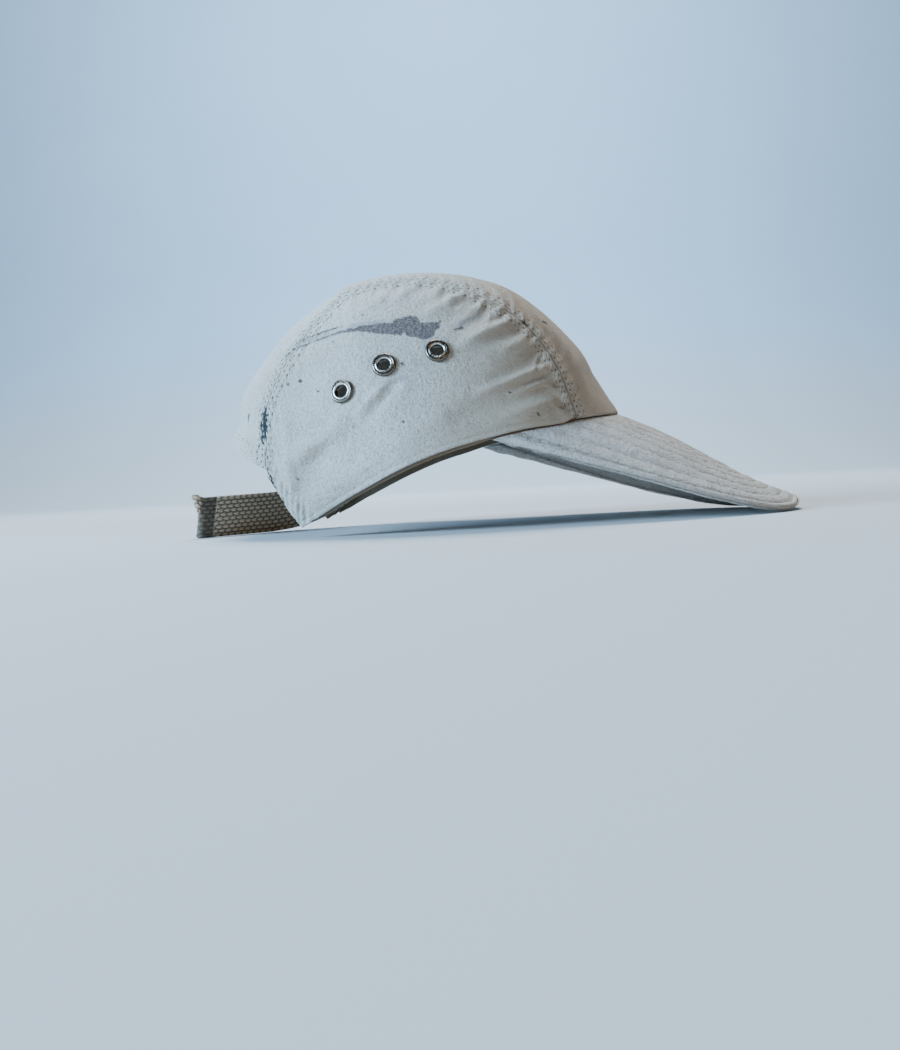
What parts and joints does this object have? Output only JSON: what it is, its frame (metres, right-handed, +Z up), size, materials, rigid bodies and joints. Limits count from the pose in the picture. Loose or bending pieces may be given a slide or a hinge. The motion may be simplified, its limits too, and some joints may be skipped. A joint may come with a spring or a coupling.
{
  "type": "long-bill cap",
  "caption": "Soft three-panel cotton canvas cap with a long curved stitched bill, metal eyelets, a sweatband and an open back with a webbing strap.",
  "frame": {"origin": "middle of the cap's box, on the surface that the cap rests on", "axes": "+X forwards along the bill, +Y to the wearer's left, +Z up"},
  "size_m": [0.3324, 0.1654, 0.1379],
  "materials": {
    "canvas": "washed natural cotton canvas, matt, with paint marks",
    "twill": "tan cotton twill, matt",
    "webbing": "natural ribbed cotton webbing, matt",
    "nickel": "aged nickel plate with a bronze tone"
  },
  "bodies": {
    "root": {"centre_strip": "canvas", "side_panel_right": "canvas", "side_panel_left": "canvas", "bill": "canvas", "sweatband": "twill", "strap": "webbing", "slide_buckle": "nickel", "slide_tab": "webbing", "eyelet_right_1": "nickel", "eyelet_right_2": "nickel", "eyelet_right_3": "nickel", "eyelet_left_1": "nickel", "eyelet_left_2": "nickel", "eyelet_left_3": "nickel"}
  },
  "joints": []
}
